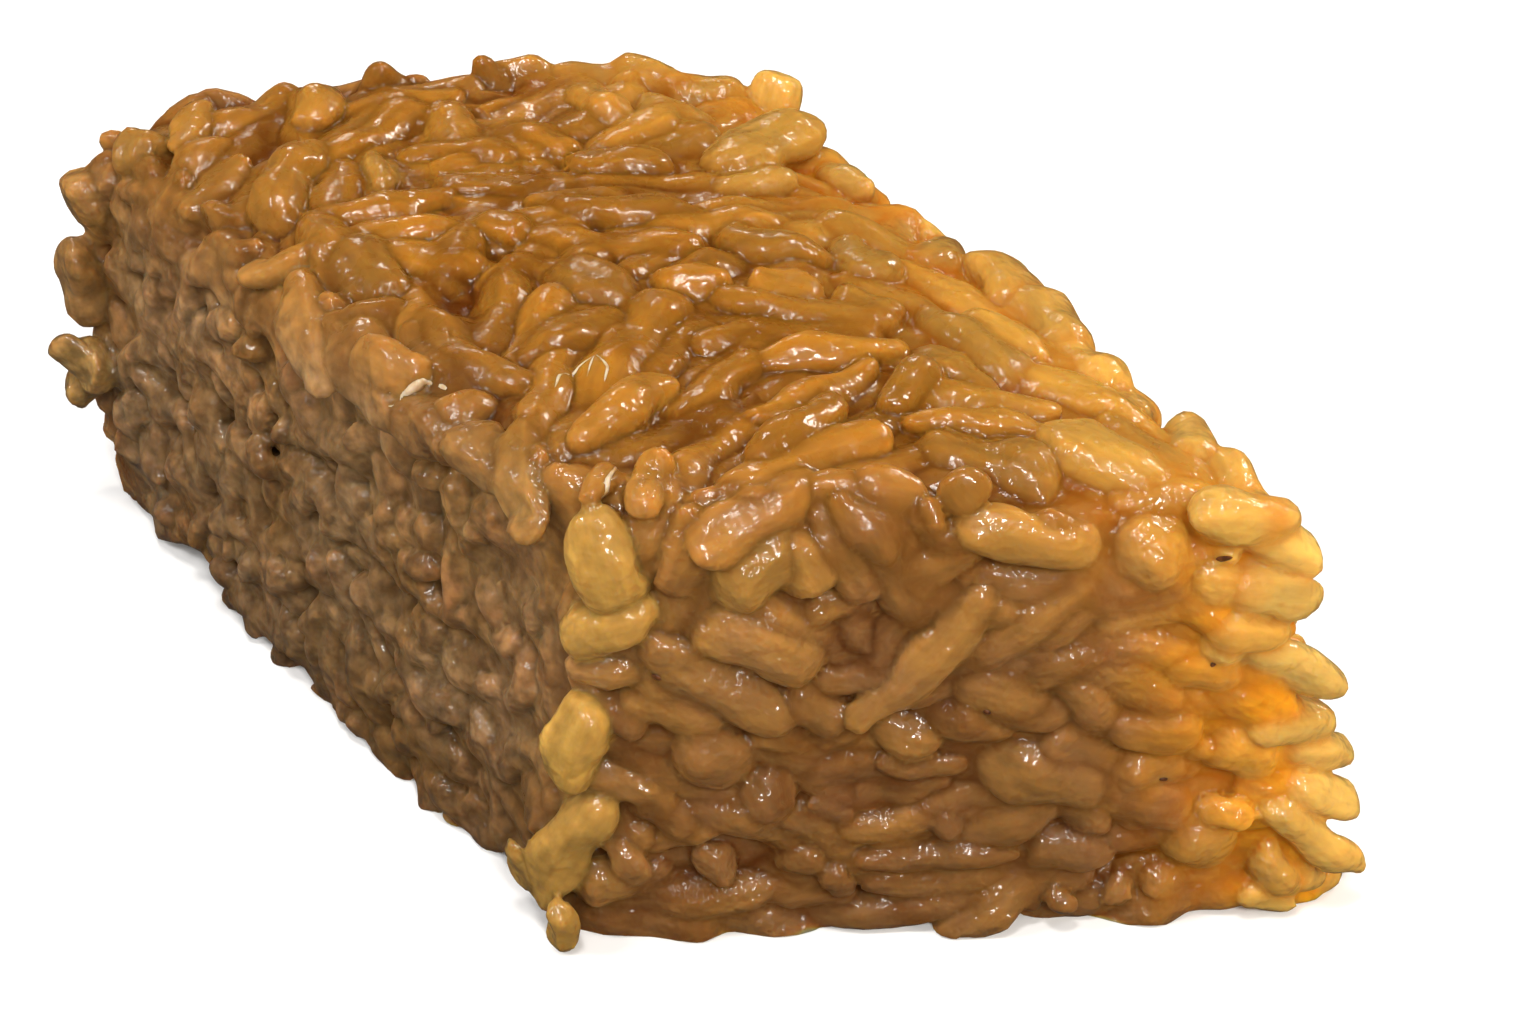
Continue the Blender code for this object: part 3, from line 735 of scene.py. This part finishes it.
def measure(points):
    """The distance to rice and syrup softly joined, the nearest grain, how far the next thing is beyond
    it, and the tone and sunniness there, which pass softly from grain to grain."""
    points = points + crookedness(points)
    heights = side_heights(points)
    weights = side_weights(heights)
    standing = heights.max(axis=1)
    fillet = weights @ of_sides("fillet") * (1.0 + 0.5 * waves(points, 3.5, seed=9))
    pools = waves(points, 2.6, seed=1) * (weights @ of_sides("pools"))
    syrup = np.maximum(standing + weights @ of_sides("sunk") + pools, BED - points[:, 2])
    distance, nearest, gap = syrup.copy(), np.zeros(len(points), int), np.full(len(points), ALONE)
    tone, sunny = np.full(len(points), SYRUP_TONE), np.zeros(len(points))
    keys, group = np.unique(np.floor(points / CELL).astype(int), axis=0, return_inverse=True)
    group = group.ravel()
    order = np.argsort(group, kind="stable")
    for key, members in zip(keys, np.split(order, np.cumsum(np.bincount(group))[:-1])):
        picked = cells.get(tuple(key))
        if picked is None:
            continue
        to_grains = grain_distances(points[members], picked)
        soft = fillet[members][:, None]
        both = np.column_stack([to_grains, syrup[members]])
        low = both.min(axis=1, keepdims=True)
        parts = np.exp((low - both) / soft)
        total = parts.sum(axis=1, keepdims=True)
        distance[members] = (low - soft * np.log(total))[:, 0]
        parts /= total
        tone[members] = parts @ np.append(grains.tone[picked], SYRUP_TONE)
        sunny[members] = parts @ np.append(grains.sunny[picked], 0.0)
        nearest[members] = picked[to_grains.argmin(axis=1)]
        pair = np.sort(both, axis=1)[:, :2]
        gap[members] = pair[:, 1] - pair[:, 0]
    lumps = weights @ of_sides("lumps")
    distance += lumps * (waves(points, 0.9, seed=2) + 0.6 * waves(points, 0.5, seed=3))
    pressed = standing - weights @ of_sides("pressed")
    rounding = PRESS_ROUNDING * np.exp(-np.abs(distance - pressed) / PRESS_ROUNDING)
    distance = np.maximum(distance, pressed) + rounding
    to_pits = pit_radii - np.linalg.norm(points[:, None] - pit_places, axis=2)
    distance = np.maximum(distance, to_pits.max(axis=1) + 0.25 * waves(points, 1.1, seed=4))
    return distance, nearest, gap, tone, sunny


PROBE = 0.02  # the step over which the slope is read
LONGEST_MOVE = 0.3


def settle(places):
    """Moves points onto the softly joined surface, and presses them flat at the foot."""
    steps = np.concatenate([np.zeros((1, 3)), PROBE * np.eye(3)])
    around = (places[None] + steps[:, None]).reshape(-1, 3)
    distances, *told = (part.reshape(4, -1) for part in measure(around))
    slope = (distances[1:] - distances[0]).T / PROBE
    steepness = np.linalg.norm(slope, axis=1, keepdims=True)
    move = np.clip(distances[0], -LONGEST_MOVE, LONGEST_MOVE)[:, None]
    settled = places - slope / np.maximum(steepness, 0.5) ** 2 * move
    settled[:, 2] = np.maximum(settled[:, 2], 0.0)
    return settled, slope / np.maximum(steepness, 1e-6), [part[0] for part in told]


MOST_TURNED = 0.25  # a triangle is folded if it faces less than this part along its points' normals


def unfolded(places, triangles, edges, ways):
    """Evens out the places where the mesh folded over in a crease."""
    for _ in range(3):
        corners = places[triangles]
        faced = np.cross(corners[:, 1] - corners[:, 0], corners[:, 2] - corners[:, 0])
        sizes = np.linalg.norm(faced, axis=1)
        folded = np.einsum("ij,ikj->ik", faced, ways[triangles]).min(axis=1) < MOST_TURNED * sizes
        loose = np.zeros(len(places), bool)
        loose[triangles[folded]] = True
        sums, counts = np.zeros_like(places), np.zeros(len(places))
        for near, far in ((0, 1), (1, 0)):
            np.add.at(sums, edges[:, near], places[edges[:, far]])
            np.add.at(counts, edges[:, near], 1.0)
        places = np.where(loose[:, None], sums / counts[:, None], places)
    return places


# The rods and the core, grown into one skin, thinned and drawn onto the softly joined surface.
VOXEL = 0.2
MOST_TRIANGLES = 195000

rods, rod_faces = joined_rods()
core, core_faces = core_mesh(block)
straight = np.vstack([rods, core])
rough_mesh = bpy.data.meshes.new("sticky_rice")
rough_faces = np.vstack([rod_faces, core_faces + len(rods)])
rough_mesh.from_pydata(straight - crookedness(straight), [], rough_faces)
rough_mesh.validate()
rice = shown("sticky_rice", rough_mesh)
remesh = rice.modifiers.new("one_mass", "REMESH")
remesh.mode = "VOXEL"
remesh.voxel_size = VOXEL
take_modifiers(rice)
keep_outer_skin(rice.data)
thin = rice.modifiers.new("fewer", "DECIMATE")
thin.ratio = MOST_TRIANGLES / (2 * len(rice.data.polygons))
take_modifiers(rice)
rice.data.calc_loop_triangles()
places = numbers_of(rice.data.vertices, "co", 3)
triangles = numbers_of(rice.data.loop_triangles, "vertices", 3, int)
edges = numbers_of(rice.data.edges, "vertices", 2, int)
for turn in range(3):
    places, normals, (nearest, gap, tone, sunny) = settle(places)
    if turn > 0:
        places = unfolded(places, triangles, edges, normals)

# What the finish needs to know at each point: which grain it is on and where on it, how deep in a
# groove between grains it lies, which side of the block it is on, and how much painted glow it gets
# from light coming through the thin right side.
# The glow is painted: light coming through the thin right side, painted into the colour.
GLOW_REACH = 9.5  # how far into the block the thin right side lets light through
LEFT_BELOW_CROWN = 1.0  # how far below the crown and behind the front cut the left cut turns dull
GROOVE_WIDTH = 0.3
GROOVE_DEPTH = 2.0
GRAIN_SHIFT = np.array((7.3, 3.1, 5.7))  # keeps one grain's streaks from going on in the next

crown, left, right = (list(SIDES).index(name) for name in ("crown", "left", "right"))
heights = side_heights(places)
lowered = heights.copy()
lowered[:, left] -= LEFT_BELOW_CROWN
weights = side_weights(lowered)
groove = np.exp(-gap / GROOVE_WIDTH)
depth = np.clip(-heights.max(axis=1) / GROOVE_DEPTH, 0.0, 1.0)
# Painted glow: how near a point lies to the thin right side, where light comes through.
glow = np.clip(1.0 + heights[:, right] / GLOW_REACH, 0.0, 1.0)
glow = glow**2 * (3.0 - 2.0 * glow)
off_middle = places - grains.middle[nearest]
lie = np.stack([np.einsum("ij,ij->i", off_middle, ways[nearest]) for ways in grains.ways], 1)
lie += nearest[:, None] * GRAIN_SHIFT


def tell(mesh, name, kind, values):
    """Stores values on the mesh's points, for its finish to read."""
    attribute = mesh.attributes.new(name, kind, "POINT")
    field = "vector" if kind == "FLOAT_VECTOR" else "color"
    attribute.data.foreach_set(field, values.astype(np.float32).ravel())


tell(rice.data, "grain", "FLOAT_COLOR", np.stack([tone, sunny, groove, depth], 1))
whole = np.ones(len(places))
tell(rice.data, "side", "FLOAT_COLOR", np.stack([weights[:, crown], weights[:, left], glow, whole], 1))
tell(rice.data, "lie", "FLOAT_VECTOR", lie)
rice.data.vertices.foreach_set("co", ((places + NEAR_CORNER) * MM).ravel())
smooth(rice.data)
rice.data.update()


def new_finish(name):
    """A new material, its tree and its shader."""
    material = bpy.data.materials.new(name)
    material.use_nodes = True
    return material, material.node_tree, material.node_tree.nodes["Principled BSDF"]


def plug(node, inputs):
    """Sets a node's inputs, by name or number, each to a value or to another node's output."""
    for name, value in inputs.items():
        socket = node.inputs[name]
        if isinstance(value, bpy.types.NodeSocket):
            node.id_data.links.new(value, socket)
        else:
            socket.default_value = (*value, 1.0) if socket.type == "RGBA" else value


def add(tree, kind, inputs, **settings):
    """Adds a node with these settings and inputs."""
    node = tree.nodes.new("ShaderNode" + kind)
    for name, value in settings.items():
        setattr(node, name, value)
    plug(node, inputs)
    return node


def mixed(factor, first, second):
    """A mix of two colours, by a factor. Like the next few, it adds its node to the factor's tree."""
    inputs = {0: factor, 6: first, 7: second}
    return add(factor.id_data, "Mix", inputs, data_type="RGBA").outputs[2]


def mixed_value(factor, first, second):
    """A mix of two numbers, by a factor."""
    inputs = {0: factor, 2: first, 3: second}
    return add(factor.id_data, "Mix", inputs, data_type="FLOAT").outputs[0]


def ramped(value, low, high, to_low=0.0, to_high=1.0):
    """A value taken from one range to another, and kept inside it."""
    inputs = {0: value, 1: low, 2: high, 3: to_low, 4: to_high}
    return add(value.id_data, "MapRange", inputs).outputs[0]


def maths(operation, first, second):
    return add(first.id_data, "Math", {0: first, 1: second}, operation=operation).outputs[0]


def times(first, second):
    return maths("MULTIPLY", first, second)


def scaled(vector, amount):
    """A place or a colour times a number."""
    return add(vector.id_data, "VectorMath", {0: vector, "Scale": amount}, operation="SCALE").outputs[0]


def place_in_mm(tree):
    return scaled(add(tree, "TexCoord", {}).outputs["Object"], 1.0 / MM)


def mottle(place, size, detail=2.0, distortion=0.0):
    """Soft noise with patches about this many millimetres across."""
    inputs = {"Vector": place, "Scale": 0.6 / size, "Detail": detail, "Distortion": distortion}
    return add(place.id_data, "TexNoise", inputs).outputs[0]


def bump(relief, strength, height):
    """Fine relief of a finish, this many millimetres high."""
    inputs = {"Height": relief, "Strength": strength, "Distance": height * MM}
    return add(relief.id_data, "Bump", inputs).outputs[0]


FRONT_BROWN = (0.290, 0.146, 0.036)
FRONT_DULL = (0.235, 0.112, 0.030)
CROWN_GOLD = (0.335, 0.142, 0.012)
LEFT_BROWN = (0.172, 0.091, 0.028)
# Partly the mashed rice's own grey and partly a painted grey sheen.
LEFT_GREY_SHEEN = (0.230, 0.145, 0.072)
# Painted glow: the right side's and the crown's brighter colours, where light comes through the thin
# side.
RIGHT_GLOW_AMBER = (0.680, 0.290, 0.012)
CROWN_GLOW_AMBER = (0.500, 0.305, 0.055)
SUNNY_YELLOW = (0.430, 0.256, 0.058)
# Painted glow: the brighter gold that sunny grains take where light comes through the thin side.
SUNNY_GLOW_GOLD = (0.570, 0.385, 0.105)
# Painted shade: the syrup's colour deep in the grooves, where shade falls.
SYRUP_IN_SHADE = (0.095, 0.022, 0.002)
SYRUP_SHADE = (0.075, 0.036, 0.010)
# Painted glow: the syrup's colour in the grooves where light comes through the thin right side.
SYRUP_GLOW_AMBER = (0.560, 0.160, 0.005)
SYRUP_DULL = (0.260, 0.130, 0.055)
STREAK_DRAW = (0.35, 1.6, 1.6)  # streaks are drawn out along a grain and narrow across it

finish, tree, shader = new_finish("sticky_rice")
grain_told = add(tree, "Attribute", {}, attribute_name="grain")
side_told = add(tree, "Attribute", {}, attribute_name="side")
lie_told = add(tree, "Attribute", {}, attribute_name="lie")
grain_parts = add(tree, "SeparateColor", {0: grain_told.outputs["Color"]})
side_parts = add(tree, "SeparateColor", {0: side_told.outputs["Color"]})
tone, sunny, in_groove = grain_parts.outputs
deep = grain_told.outputs["Alpha"]
on_crown, on_left, in_glow = side_parts.outputs
in_mm = place_in_mm(tree)
drawn_out = {0: lie_told.outputs["Vector"], 1: STREAK_DRAW}
drawn = add(tree, "VectorMath", drawn_out, operation="MULTIPLY").outputs[0]
streaks = mottle(drawn, 0.5, detail=3.0)
patches = mottle(in_mm, 2.2, detail=3.0, distortion=0.4)
specks = mottle(in_mm, 0.45)

colour = mixed(tone, FRONT_DULL, FRONT_BROWN)
colour = mixed(on_crown, colour, CROWN_GOLD)
# The left cut: brown, greyer in large patches, partly its own grey and partly a painted grey sheen.
grey_sheen = ramped(mottle(in_mm, 5.0, detail=3.0), 0.38, 0.62)
colour = mixed(on_left, colour, mixed(grey_sheen, LEFT_BROWN, LEFT_GREY_SHEEN))
# Painted glow of light through the thin right side, fading into the block, half as strong on the crown.
painted_glow = times(in_glow, ramped(on_crown, 0.0, 1.0, 1.0, 0.5))
colour = mixed(painted_glow, colour, mixed(on_crown, RIGHT_GLOW_AMBER, CROWN_GLOW_AMBER))
on_cuts = ramped(on_crown, 0.0, 0.8, 1.0, 0.0)
dull = times(ramped(patches, 0.45, 0.68, 0.0, 0.6), on_cuts)
colour = mixed(dull, colour, SYRUP_DULL)
# Sunny grains are yellow, partly painted light; in the painted glow they turn a brighter gold.
colour = mixed(sunny, colour, mixed(painted_glow, SUNNY_YELLOW, SUNNY_GLOW_GOLD))

# The shade: from grain to grain by their own tone; painted shade that darkens the cuts from crown to
# foot; and on the front cut, painted light that makes it lighter towards the near edge.
place_parts = add(tree, "SeparateXYZ", {0: in_mm}).outputs
sideways, up = place_parts[0], place_parts[2]
low, high = 1.0, 19.0
# Painted shade darker towards the foot, and painted light towards the front cut's near edge.
painted_front_shading = times(ramped(up, low, high, 0.92, 1.22), ramped(sideways, -4.0, 6.0, 1.18, 1.0))
painted_height_shading = mixed_value(on_left, painted_front_shading, ramped(up, low, high, 0.72, 1.45))
cut_tone, crown_tone = ramped(tone, 0.0, 1.0, 0.86, 1.14), ramped(tone, 0.0, 1.0, 0.76, 1.24)
shade = mixed_value(on_crown, cut_tone, crown_tone)
shade = times(shade, mixed_value(on_cuts, 1.0, painted_height_shading))
# Painted speckled light and shade of the left cut's small bumps, as a fine mottle.
painted_speckle = ramped(mottle(in_mm, 0.45, detail=3.0), 0.35, 0.65, 0.62, 1.40)
shade = times(shade, mixed_value(on_left, 1.0, painted_speckle))
shade = times(shade, ramped(streaks, 0.3, 0.7, 0.83, 1.17))
shaded = scaled(colour, shade)

# The grooves: painted shade, darker the deeper they are, and painted glow in warm orange where light
# comes through the thin right side.
half_deep = 0.45
# Painted shade: narrow grooves darker, deep hollows darkest.
groove_dark = times(ramped(in_groove, 0.1, 0.8, 0.15, 1.0), ramped(deep, 0.0, half_deep, 0.5, 1.0))
deepest = ramped(deep, half_deep, 1.0, 0.0, mixed_value(on_left, 0.5, 0.95))
groove_dark = maths("MAXIMUM", groove_dark, deepest)
groove_colour = mixed(on_left, mixed(painted_glow, SYRUP_IN_SHADE, SYRUP_GLOW_AMBER), SYRUP_SHADE)
shaded = mixed(groove_dark, shaded, groove_colour)

# The gloss: a clear coat of syrup that is thickest on the cuts and thins out in the grooves.
smoother = ramped(on_crown, 0.0, 1.0, 0.0, -0.14)
rough = maths("ADD", ramped(specks, 0.35, 0.7, 0.36, 0.52), smoother)
clear_of_grooves = ramped(in_groove, 0.1, 0.9, 1.0, 0.15)
coat = times(clear_of_grooves, ramped(on_crown, 0.0, 1.0, 1.0, 0.72))

# The fine relief: full on the coat, whose glints it breaks up, and soft on the rice below.
wrinkled = ramped(mottle(in_mm, 3.0), 0.4, 0.65, 0.4, 1.0)
grit = ramped(on_crown, 0.0, 1.0, 1.2, 0.35)
frosty = times(mottle(in_mm, 0.28, detail=1.0), grit)
fine = times(maths("ADD", mottle(in_mm, 0.6, detail=1.0), frosty), wrinkled)
dents = mottle(in_mm, 1.2, detail=1.0)
relief = maths("ADD", times(fine, 0.7), times(dents, 0.25))
plug(shader, {
    "Base Color": shaded,
    "Roughness": rough,
    "IOR": 1.45,
    "Specular IOR Level": times(clear_of_grooves, 0.3),
    "Subsurface Weight": 1.0,
    "Subsurface Radius": (1.0, 0.50, 0.20),
    "Subsurface Scale": 1.0 * MM,
    "Coat Weight": coat,
    "Coat Roughness": ramped(patches, 0.4, 0.6, 0.12, 0.26),
    "Coat IOR": 1.5,
    "Coat Tint": (1.0, 0.97, 0.92),
    "Coat Normal": bump(relief, 1.0, 0.4),
    "Normal": bump(relief, 0.45, 0.4),
})
rice.data.materials.append(finish)
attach(rice, "root")
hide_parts("wajik")


# Husk: a few flakes of brown husk that stayed on the rice. They are thin, and lie half sunk in the set
# syrup of the front cut. Each has its place (x, z), length and width, and its turn in degrees.
HUSK_FLAKES = (
    ((24.7, 17.5), 1.2, 0.28, 35.0),
    ((3.6, 13.1), 0.45, 0.32, 0.0),
    ((16.3, 11.0), 0.32, 0.28, 0.0),
    ((24.9, 12.8), 0.36, 0.20, 60.0),
    ((23.5, 7.3), 0.42, 0.22, -20.0),
)
HUSK_THICKNESS = 0.14
HUSK_BROWN = (0.060, 0.018, 0.006)
HUSK_RUST = (0.160, 0.050, 0.012)


def onto_rice(places):
    """The points of the grains' skin next to some places, and the ways it faces there."""
    for _ in range(10):
        places, facings, _ = settle(places)
    return places, facings


flake_places = np.array([on_side("front", flake[0])[0] for flake in HUSK_FLAKES])
husk_plan = bmesh.new()
for place, facing, (_, length, width, angle) in zip(*onto_rice(flake_places), HUSK_FLAKES):
    facing = Vector(facing)
    level = Vector((0.0, 0.0, 1.0)).cross(facing).normalized()
    along = Matrix.Rotation(math.radians(angle), 3, facing) @ level
    axes = Matrix((along, facing.cross(along), facing)).transposed().to_4x4()
    laid_out = Matrix.Translation(Vector((place + NEAR_CORNER) * MM)) @ axes
    laid_out @= Matrix.Diagonal((length, width, HUSK_THICKNESS, 1.0))
    bmesh.ops.create_icosphere(husk_plan, subdivisions=3, radius=0.5 * MM, matrix=laid_out)
husk = shown_plan("husk_flakes", husk_plan)
smooth(husk.data)
husk_finish, tree, shader = new_finish("husk")
in_mm = place_in_mm(tree)
blotches = ramped(mottle(in_mm, 0.2), 0.4, 0.6)
plug(shader, {
    "Base Color": mixed(blotches, HUSK_BROWN, HUSK_RUST),
    "Roughness": 0.45,
    "Normal": bump(mottle(in_mm, 0.15), 0.6, 0.1),
})
husk.data.materials.append(husk_finish)
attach(husk, "root")


# Cream threads: thin curls of set coconut cream that dried pale on the crown's glaze, near the front
# left corner. Each goes over the grains from place to place (x, y) of the crown, partly sunk in the
# glaze, and has its own thickness.
CREAM_THREADS = (
    (((-6.4, 12.0), (-6.3, 12.5), (-6.1, 13.0)), 0.36),
    (((-5.6, 12.0), (-5.1, 11.7), (-5.2, 11.2), (-5.7, 10.9), (-6.4, 10.7)), 0.42),
    (((-6.3, 10.0), (-5.6, 10.2), (-5.0, 10.4), (-4.2, 9.8)), 0.44),
    (((0.1, 8.1), (0.3, 9.0), (1.0, 9.7), (1.8, 9.9)), 0.16),
    (((1.8, 9.9), (1.6, 9.4), (1.4, 8.8)), 0.10),
    (((1.9, 9.9), (2.2, 9.1), (2.0, 8.2)), 0.12),
    (((2.1, 2.8), (1.8, 2.1), (1.5, 1.4)), 0.20),
)
THREAD_STEP = 0.15
THREAD_SUNK = 0.3
CREAM_PALE = (0.600, 0.470, 0.320)
CREAM_GLAZED = (0.440, 0.260, 0.100)

cream_curve = bpy.data.curves.new("cream_curve", "CURVE")
cream_curve.dimensions = "3D"
cream_curve.bevel_depth = 0.5 * MM
cream_curve.bevel_resolution = 2
cream_curve.use_fill_caps = True
for stops, thickness_of in CREAM_THREADS:
    stops = np.array(stops)
    runs = np.concatenate([[0.0], np.cumsum(np.linalg.norm(np.diff(stops, axis=0), axis=1))])
    marks = np.linspace(0.0, runs[-1], max(4, round(runs[-1] / THREAD_STEP)))
    route = np.stack([np.interp(marks, runs, stops[:, axis]) for axis in range(2)], axis=1)
    route, facings = onto_rice(np.array([on_side("crown", place)[0] for place in route]))
    route -= THREAD_SUNK * thickness_of * facings
    swells = 1.0 + 0.35 * waves(route, 0.5, seed=11)
    thread = cream_curve.splines.new("POLY")
    thread.points.add(len(route) - 1)
    parts = np.linspace(0.0, 1.0, len(route))
    for point, place, swell, part in zip(thread.points, route, swells, parts):
        point.co = (*((place + NEAR_CORNER) * MM), 1.0)
        point.radius = thickness_of * swell * (0.5 + 0.5 * math.sin(math.pi * part))
cream_form = shown("cream_form", cream_curve)
cream_mesh = applied(cream_form)
bpy.data.objects.remove(cream_form)
cream_mesh.name = "cream_threads"
smooth(cream_mesh)
cream = shown("cream_threads", cream_mesh)
cream_finish, tree, shader = new_finish("set_cream")
in_mm = place_in_mm(tree)
glazed = ramped(mottle(in_mm, 0.4), 0.42, 0.6)
plug(shader, {
    "Base Color": mixed(glazed, CREAM_PALE, CREAM_GLAZED),
    "Roughness": 0.35,
    "Subsurface Weight": 0.5,
    "Subsurface Radius": (1.0, 0.5, 0.2),
    "Subsurface Scale": 0.3 * MM,
    "Normal": bump(mottle(in_mm, 0.2), 0.8, 0.1),
})
cream_mesh.materials.append(cream_finish)
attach(cream, "root")


# The floor: a plain pale surface that the piece rests on. It isn't seen in the syrup's reflections and
# throws no light back, so the cuts stay dark towards the foot.
floor_plan = bmesh.new()
bmesh.ops.create_grid(floor_plan, x_segments=1, y_segments=1, size=3.0)
floor = shown_plan("floor", floor_plan)
floor_finish, tree, shader = new_finish("pale_floor")
plug(shader, {"Base Color": (0.9, 0.9, 0.9), "Roughness": 0.9})
floor.data.materials.append(floor_finish)
floor.visible_diffuse = False
floor.visible_glossy = False


# Light: large soft boxes that only soften the shading, small ones whose glints show in the syrup, and a
# pale room that is dim in reflections.
def softbox(name, place, size, power, colour=(1.0, 0.97, 0.93), glints=False):
    lamp = bpy.data.lights.new(name, "AREA")
    lamp.size = size
    lamp.energy = power
    lamp.color = colour
    box = shown(name, lamp)
    box.location = place
    box.rotation_euler = (Vector((0.0, 0.0, 0.01)) - Vector(place)).to_track_quat("-Z", "Y").to_euler()
    box.visible_glossy = glints
    box.visible_camera = False


softbox("key", (0.30, 0.16, 0.30), 0.08, 0.69, (1.0, 0.93, 0.82), glints=True)
softbox("top", (-0.04, -0.10, 0.42), 0.08, 0.72, glints=True)
softbox("fill", (-0.12, -0.42, 0.20), 0.34, 0.74)
softbox("front_sheen", (0.04, -0.32, 0.30), 0.06, 0.85, glints=True)
softbox("left_fill", (-0.36, 0.02, 0.20), 0.20, 0.7)
softbox("left_glint", (-0.28, -0.06, 0.28), 0.04, 0.22, (0.95, 0.97, 1.0), glints=True)
softbox("back_glint", (-0.06, 0.36, 0.27), 0.05, 0.12, (1.0, 0.97, 0.92), glints=True)
softbox("low_warm", (0.085, -0.055, 0.03), 0.03, 0.035, (1.0, 0.88, 0.70))
ROOM_SEEN, ROOM_REFLECTED = 0.26, 0.05
world = bpy.data.worlds.new("studio")
world.use_nodes = True
room = world.node_tree
rays = add(room, "LightPath", {})
room_light = ramped(rays.outputs["Is Glossy Ray"], 0.0, 1.0, ROOM_SEEN, ROOM_REFLECTED)
plug(room.nodes["Background"], {"Color": (0.95, 0.96, 1.0), "Strength": room_light})
bpy.context.scene.world = world
bpy.context.scene.view_settings.view_transform = "Standard"


# Camera: at the photo's angle, looking down at the near vertical edge. Its place was worked out from
# the block's corners as the photo shows them.
CAMERA_AZIMUTH = math.radians(-6.34)
CAMERA_ELEVATION = math.radians(34.29)
CAMERA_ROLL = math.radians(1.49)
CAMERA_AIM = (9.32, 15.42, 9.74)
CAMERA_DISTANCE = 123.7
back = Vector((
    math.sin(CAMERA_AZIMUTH) * math.cos(CAMERA_ELEVATION),
    -math.cos(CAMERA_AZIMUTH) * math.cos(CAMERA_ELEVATION),
    math.sin(CAMERA_ELEVATION),
))
lens = bpy.data.cameras.new("camera")
lens.lens = 67.26
lens.sensor_width = 36.0
lens.clip_start = 0.01
lens.clip_end = 20.0
camera = shown("camera", lens)
turn = (-back).to_track_quat("-Z", "Y").to_matrix().to_4x4() @ Matrix.Rotation(CAMERA_ROLL, 4, "Z")
eye = (Vector(CAMERA_AIM) + Vector(NEAR_CORNER) + back * CAMERA_DISTANCE) * MM
camera.matrix_world = Matrix.Translation(eye) @ turn
bpy.context.scene.camera = camera
